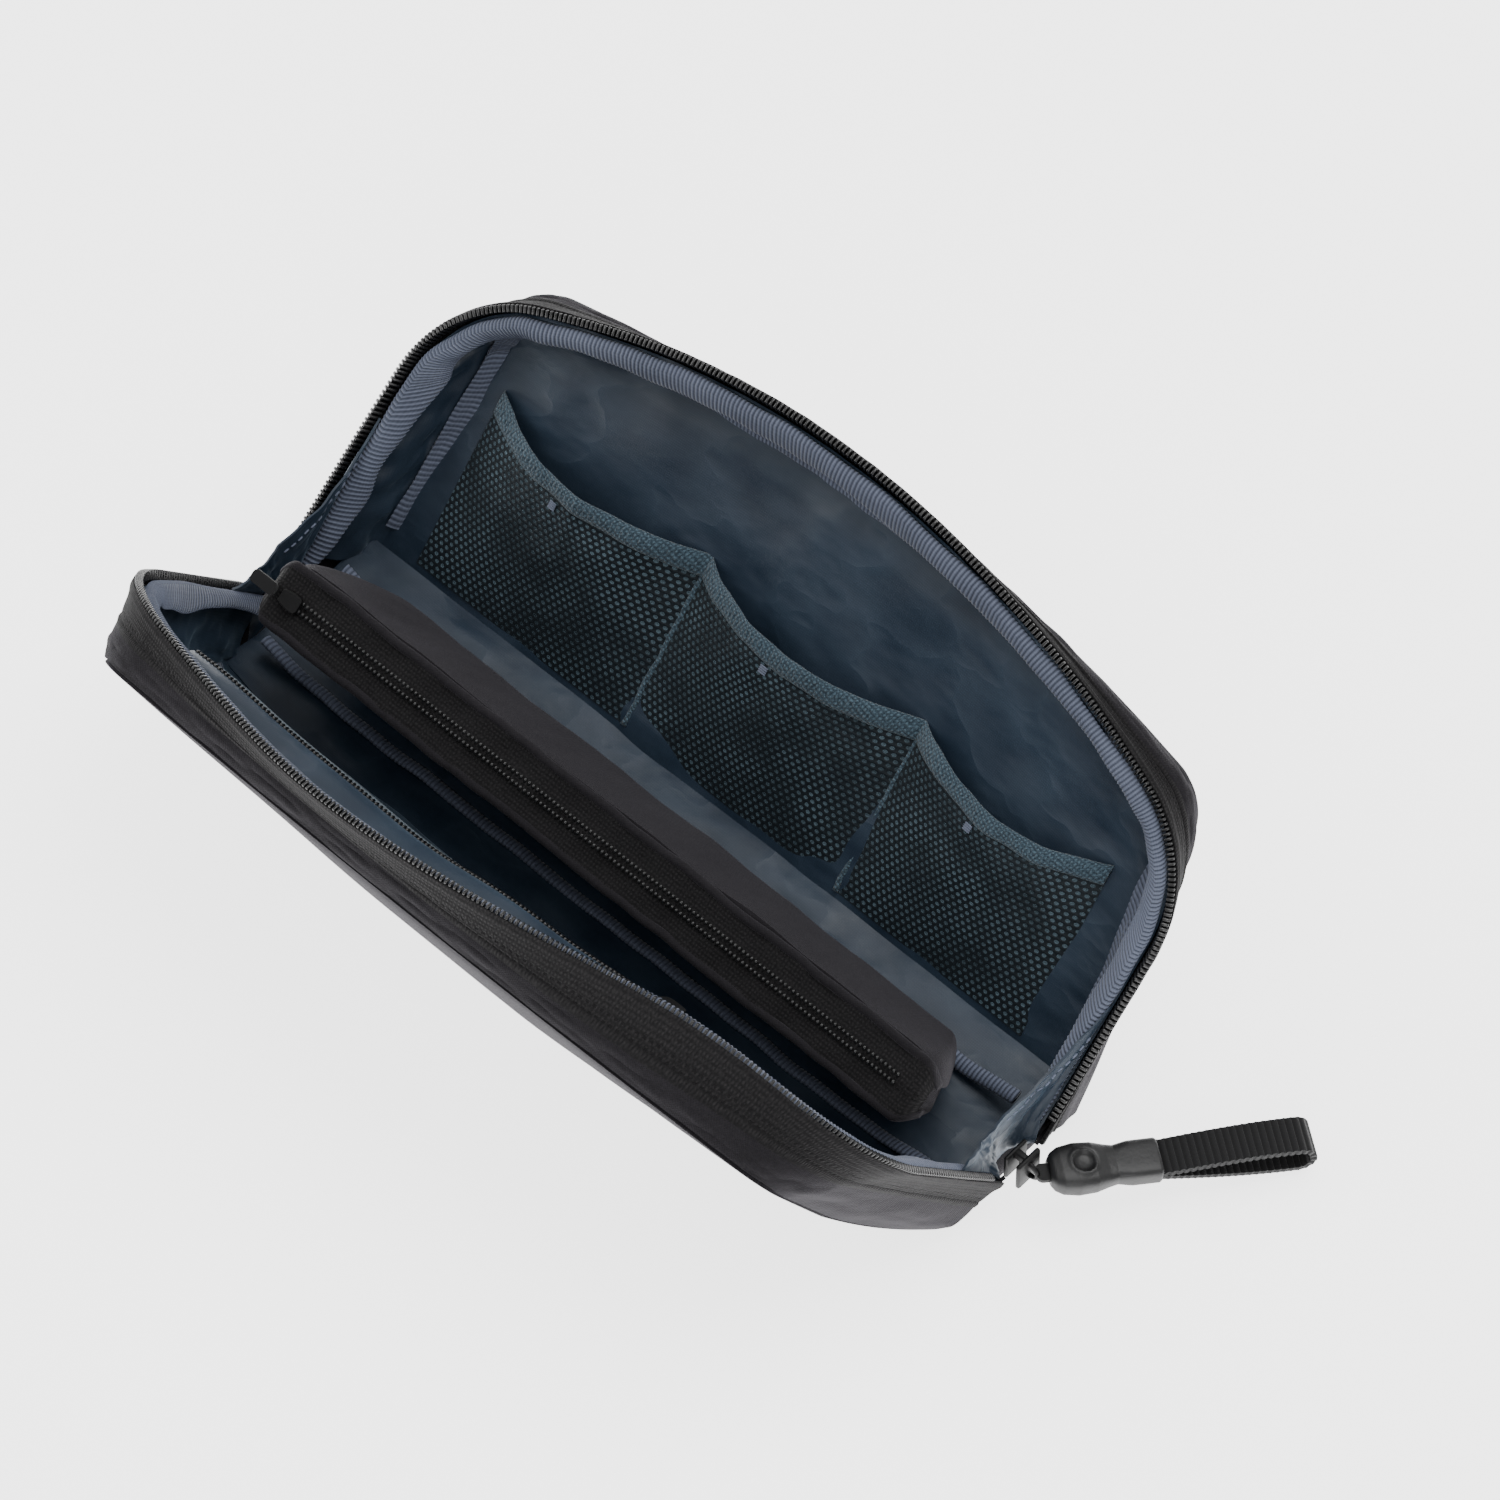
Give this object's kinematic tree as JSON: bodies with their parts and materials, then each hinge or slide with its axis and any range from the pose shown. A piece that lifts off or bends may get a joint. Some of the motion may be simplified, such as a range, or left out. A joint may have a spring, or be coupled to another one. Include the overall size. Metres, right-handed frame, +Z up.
{
  "type": "cable organizer pouch",
  "caption": "Charcoal zip-round cable organizer pouch, standing open, with mesh pockets, a centre zip case and a rubber pull with a webbing loop.",
  "frame": {"origin": "middle of the base panel's underside", "axes": "+X along the pouch towards the end with the slider; -Y towards the front half; +Z up"},
  "size_m": [0.3104, 0.175, 0.1034],
  "materials": {
    "shell_fabric": "charcoal woven polyester, matte",
    "zipper_tape": "woven tape, matte, fine ribs",
    "zipper_teeth": "black nylon coil",
    "grosgrain_binding": "ribbed grey-blue grosgrain",
    "lining_fabric": "navy nylon, satin, wrinkled",
    "foam": "closed-cell foam board",
    "pocket_mesh": "knitted mesh, open holes",
    "hem_elastic": "folded elastic, teal-grey",
    "slider_metal": "black lacquer",
    "grip_rubber": "moulded, matte",
    "webbing": "ribbed polyester webbing"
  },
  "bodies": {
    "base": {"base_panel": "shell_fabric", "base_foam_board": "foam", "base_lining": "lining_fabric", "left_gusset": "lining_fabric", "right_gusset": "lining_fabric"},
    "front_half": {"front_zip_tape": "zipper_tape", "front_zip_coil": "zipper_teeth", "front_mouth_binding": "grosgrain_binding", "front_side_band": "shell_fabric", "front_face_panel": "shell_fabric", "front_foam_board": "foam", "front_bottom_strip": "shell_fabric", "front_lining": "lining_fabric", "front_seam_binding": "grosgrain_binding", "front_mesh_pocket": "pocket_mesh", "front_pocket_tape_lower": "hem_elastic", "front_pocket_tape_upper": "hem_elastic", "front_pocket_coil": "zipper_teeth"},
    "back_half": {"back_zip_tape": "zipper_tape", "back_zip_coil": "zipper_teeth", "back_mouth_binding": "grosgrain_binding", "back_side_band": "shell_fabric", "back_face_panel": "shell_fabric", "back_foam_board": "foam", "back_bottom_strip": "shell_fabric", "back_lining": "lining_fabric", "back_seam_binding": "grosgrain_binding", "back_mesh_pocket": "pocket_mesh", "back_pocket_hem": "hem_elastic", "pocket_divider_seam_left": "hem_elastic", "pocket_divider_seam_right": "hem_elastic"},
    "case": {"case_front_panel": "shell_fabric", "case_back_panel": "shell_fabric", "case_left_end": "shell_fabric", "case_right_end": "shell_fabric", "case_front_piping": "shell_fabric", "case_back_piping": "shell_fabric", "case_zip_tape_front": "zipper_tape", "case_zip_tape_back": "zipper_tape", "case_zip_coil": "zipper_teeth", "case_lining": "lining_fabric", "case_floor": "lining_fabric", "case_base_web": "lining_fabric"},
    "main_slider": {"main_slider": "slider_metal"},
    "main_pull": {"main_pull_bail": "slider_metal", "pull_rubber_grip": "grip_rubber", "pull_webbing_loop": "webbing"},
    "case_slider": {"case_slider": "slider_metal"},
    "case_pull": {"case_pull_tab": "webbing"},
    "front_pocket_slider": {"front_pocket_slider": "slider_metal"},
    "front_pocket_pull": {"front_pocket_pull": "grip_rubber"}
  },
  "joints": [
    {"name": "front_half_fold", "type": "hinge", "parent": "base", "child": "front_half", "pos_m": [0, -0.0155, 0.003], "axis": [-1, 0, 0], "range_deg": [0, 37], "deforming": ["left_gusset", "right_gusset"]},
    {"name": "back_half_fold", "type": "hinge", "parent": "base", "child": "back_half", "pos_m": [0, 0.0155, 0.003], "axis": [1, 0, 0], "range_deg": [0, 47], "deforming": ["back_mesh_pocket", "back_pocket_hem"]},
    {"name": "case_tilt", "type": "hinge", "parent": "base", "child": "case", "pos_m": [0, 0.0135, 0.0068], "axis": [-1, 0, 0], "range_deg": [0, 20]},
    {"name": "main_slider_travel", "type": "slide", "parent": "base", "child": "main_slider", "axis": [0, 0, 1], "range_m": [0, 0.028]},
    {"name": "main_pull_swing", "type": "hinge", "parent": "main_slider", "child": "main_pull", "pos_m": [0.13547, 0, 0.0165], "axis": [0.8192, -0.5736, 0], "range_deg": [0, 80]},
    {"name": "case_slider_travel", "type": "slide", "parent": "case", "child": "case_slider", "axis": [1, 0, 0], "range_m": [0, 0.192]},
    {"name": "case_pull_swing", "type": "hinge", "parent": "case_slider", "child": "case_pull", "pos_m": [-0.1046, -0.01957, 0.05232], "axis": [0, 0.809, 0.5878], "range_deg": [0, 140]},
    {"name": "front_pocket_slider_travel", "type": "slide", "parent": "front_half", "child": "front_pocket_slider", "axis": [1, 0, 0], "range_m": [-0.145, 0.035]},
    {"name": "front_pocket_pull_swing", "type": "hinge", "parent": "front_pocket_slider", "child": "front_pocket_pull", "pos_m": [0.056, -0.05071, 0.07038], "axis": [1, 0, 0], "range_deg": [0, 120]}
  ],
  "couplings": [
    {"joint": "case_tilt", "follows": "front_half_fold", "ratio": 0.54054}
  ]
}
